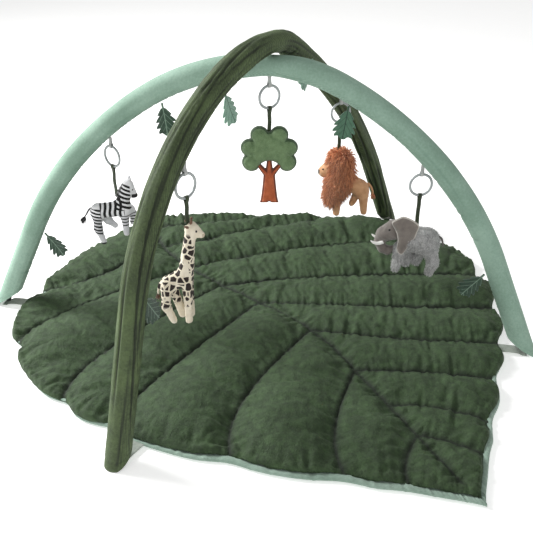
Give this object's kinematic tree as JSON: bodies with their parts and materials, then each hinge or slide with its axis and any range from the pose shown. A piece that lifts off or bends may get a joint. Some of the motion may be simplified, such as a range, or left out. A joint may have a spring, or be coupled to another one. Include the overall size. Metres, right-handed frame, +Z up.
{
  "type": "activity play gym",
  "caption": "Quilted leaf-shaped baby floor mat under two crossing padded arches with felt leaves and plush safari toys hanging on link rings.",
  "frame": {"origin": "on the floor under the point where the two arches cross", "axes": "+Z up, -Y towards the tip of the leaf mat, +X to the right seen from the tip"},
  "size_m": [1.0449, 1.16, 0.5872],
  "materials": {
    "forest_cotton": "crinkled washed cotton",
    "sage_cotton": "fine weave cotton",
    "sage_sleeve": "soft brushed cotton",
    "olive_sleeve": "soft cotton with long wrinkles",
    "batting": "white fibre fill",
    "webbing": "flat woven tape",
    "rod": "glass fibre",
    "ferrule": "satin",
    "rod_cap": "matt",
    "ring_plastic": "smooth, slightly clear",
    "ribbon_green": "ribbed ribbon",
    "felt_dark": "wool felt",
    "felt_mid": "wool felt",
    "felt_mint": "wool felt",
    "zebra_plush": "short plush with dark stripes",
    "black_plush": "short plush",
    "giraffe_plush": "short plush with brown patches",
    "brown_plush": "short plush",
    "crown_felt": "wool felt",
    "trunk_felt": "wool felt",
    "tan_plush": "short plush",
    "mane_fur": "long fur",
    "grey_plush": "heathered plush",
    "grey_felt": "wool felt",
    "tusk_felt": "smooth felt",
    "bead": "polished"
  },
  "bodies": {
    "mat": {"mat_backing": "sage_cotton", "mat_batting": "batting", "mat_top": "forest_cotton", "strap_left": "webbing", "strap_right": "webbing", "strap_front": "webbing", "strap_back": "webbing"},
    "light_arch": {"light_cover": "sage_sleeve", "light_foam": "batting", "light_rod_left": "rod", "light_rod_right": "rod", "light_ferrule": "ferrule", "light_rod_caps": "rod_cap", "loop_zebra": "webbing", "loop_tree": "webbing", "loop_elephant": "webbing"},
    "dark_arch": {"dark_cover": "olive_sleeve", "dark_foam": "batting", "dark_rod_front": "rod", "dark_rod_back": "rod", "dark_ferrule": "ferrule", "dark_rod_caps": "rod_cap", "loop_giraffe": "webbing", "loop_lion": "webbing"},
    "zebra_ring": {"ring_zebra": "ring_plastic"},
    "zebra_toy": {"ribbon_zebra": "ribbon_green", "zebra_body": "zebra_plush", "zebra_mane": "black_plush", "zebra_tail": "black_plush", "zebra_eyes": "bead"},
    "tree_ring": {"ring_tree": "ring_plastic"},
    "tree_toy": {"ribbon_tree": "ribbon_green", "tree_crown": "crown_felt", "tree_trunk": "trunk_felt"},
    "elephant_ring": {"ring_elephant": "ring_plastic"},
    "elephant_toy": {"ribbon_elephant": "ribbon_green", "elephant_body": "grey_plush", "elephant_head": "grey_felt", "elephant_ears": "grey_felt", "elephant_tusks": "tusk_felt", "elephant_eyes": "bead"},
    "giraffe_ring": {"ring_giraffe": "ring_plastic"},
    "giraffe_toy": {"ribbon_giraffe": "ribbon_green", "giraffe_body": "giraffe_plush", "giraffe_tail": "brown_plush", "giraffe_eyes": "bead"},
    "lion_ring": {"ring_lion": "ring_plastic"},
    "lion_toy": {"ribbon_lion": "ribbon_green", "lion_body": "tan_plush", "lion_mane": "mane_fur", "lion_tail": "brown_plush", "lion_eyes": "bead"},
    "felt_left_low": {"leaf_left_low": "felt_dark"},
    "felt_left_high": {"leaf_left_high": "felt_dark"},
    "felt_right_high": {"leaf_right_high": "felt_mid"},
    "felt_right_low": {"leaf_right_low": "felt_dark"},
    "felt_front_low": {"leaf_front_low": "felt_dark"},
    "felt_front_high": {"leaf_front_high": "felt_mint"},
    "felt_back_high": {"leaf_back_high": "felt_mint"}
  },
  "joints": [
    {"name": "light_lift", "type": "slide", "parent": "mat", "child": "light_arch", "axis": [0, 0, 1], "range_m": [0, 0.16]},
    {"name": "dark_lift", "type": "slide", "parent": "light_arch", "child": "dark_arch", "axis": [0, 0, 1], "range_m": [0, 0.16]},
    {"name": "zebra_ring_swing", "type": "hinge", "parent": "light_arch", "child": "zebra_ring", "pos_m": [-0.24626, 0.17308, 0.36966], "axis": [0.4695, -0.8829, 0], "range_deg": [-20, 20]},
    {"name": "zebra_toy_swing", "type": "hinge", "parent": "zebra_ring", "child": "zebra_toy", "pos_m": [-0.24626, 0.17308, 0.33026], "axis": [0.4695, -0.8829, 0], "range_deg": [-20, 20]},
    {"name": "tree_ring_swing", "type": "hinge", "parent": "light_arch", "child": "tree_ring", "pos_m": [-0.00164, 0.00115, 0.49669], "axis": [0.9976, 0.0698, 0], "range_deg": [-20, 20]},
    {"name": "tree_toy_swing", "type": "hinge", "parent": "tree_ring", "child": "tree_toy", "pos_m": [-0.00164, 0.00115, 0.45729], "axis": [0.9976, 0.0698, 0], "range_deg": [-20, 20]},
    {"name": "elephant_ring_swing", "type": "hinge", "parent": "light_arch", "child": "elephant_ring", "pos_m": [0.2209, -0.15525, 0.35252], "axis": [0.9511, -0.309, 0], "range_deg": [-20, 20]},
    {"name": "elephant_toy_swing", "type": "hinge", "parent": "elephant_ring", "child": "elephant_toy", "pos_m": [0.2209, -0.15525, 0.31312], "axis": [0.9511, -0.309, 0], "range_deg": [-20, 20]},
    {"name": "giraffe_ring_swing", "type": "hinge", "parent": "dark_arch", "child": "giraffe_ring", "pos_m": [-0.21242, -0.14863, 0.4238], "axis": [0.9272, 0.3746, 0], "range_deg": [-20, 20]},
    {"name": "giraffe_toy_swing", "type": "hinge", "parent": "giraffe_ring", "child": "giraffe_toy", "pos_m": [-0.21242, -0.14863, 0.3844], "axis": [0.9272, 0.3746, 0], "range_deg": [-20, 20]},
    {"name": "lion_ring_swing", "type": "hinge", "parent": "dark_arch", "child": "lion_ring", "pos_m": [0.2091, 0.111, 0.41183], "axis": [0.9903, -0.1392, 0], "range_deg": [-20, 20]},
    {"name": "lion_toy_swing", "type": "hinge", "parent": "lion_ring", "child": "lion_toy", "pos_m": [0.2091, 0.111, 0.37243], "axis": [0.9903, -0.1392, 0], "range_deg": [-20, 20]},
    {"name": "leaf_left_low_flap", "type": "hinge", "parent": "light_arch", "child": "felt_left_low", "pos_m": [-0.37962, 0.2668, 0.17733], "axis": [0.8181, -0.575, 0], "range_deg": [-30, 30]},
    {"name": "leaf_left_high_flap", "type": "hinge", "parent": "light_arch", "child": "felt_left_high", "pos_m": [-0.16118, 0.11328, 0.45775], "axis": [0.8181, -0.575, 0], "range_deg": [-30, 30]},
    {"name": "leaf_right_high_flap", "type": "hinge", "parent": "light_arch", "child": "felt_right_high", "pos_m": [0.11127, -0.0782, 0.46901], "axis": [0.8181, -0.575, 0], "range_deg": [-30, 30]},
    {"name": "leaf_right_low_flap", "type": "hinge", "parent": "light_arch", "child": "felt_right_low", "pos_m": [0.33053, -0.2323, 0.16505], "axis": [0.8181, -0.575, 0], "range_deg": [-30, 30]},
    {"name": "leaf_front_low_flap", "type": "hinge", "parent": "dark_arch", "child": "felt_front_low", "pos_m": [-0.30597, -0.19718, 0.25794], "axis": [0.8406, 0.5417, 0], "range_deg": [-30, 30]},
    {"name": "leaf_front_high_flap", "type": "hinge", "parent": "dark_arch", "child": "felt_front_high", "pos_m": [-0.116, -0.07476, 0.51727], "axis": [0.8406, 0.5417, 0], "range_deg": [-30, 30]},
    {"name": "leaf_back_high_flap", "type": "hinge", "parent": "dark_arch", "child": "felt_back_high", "pos_m": [0.10145, 0.03613, 0.52512], "axis": [0.8406, 0.5417, 0], "range_deg": [-40, 0]}
  ]
}
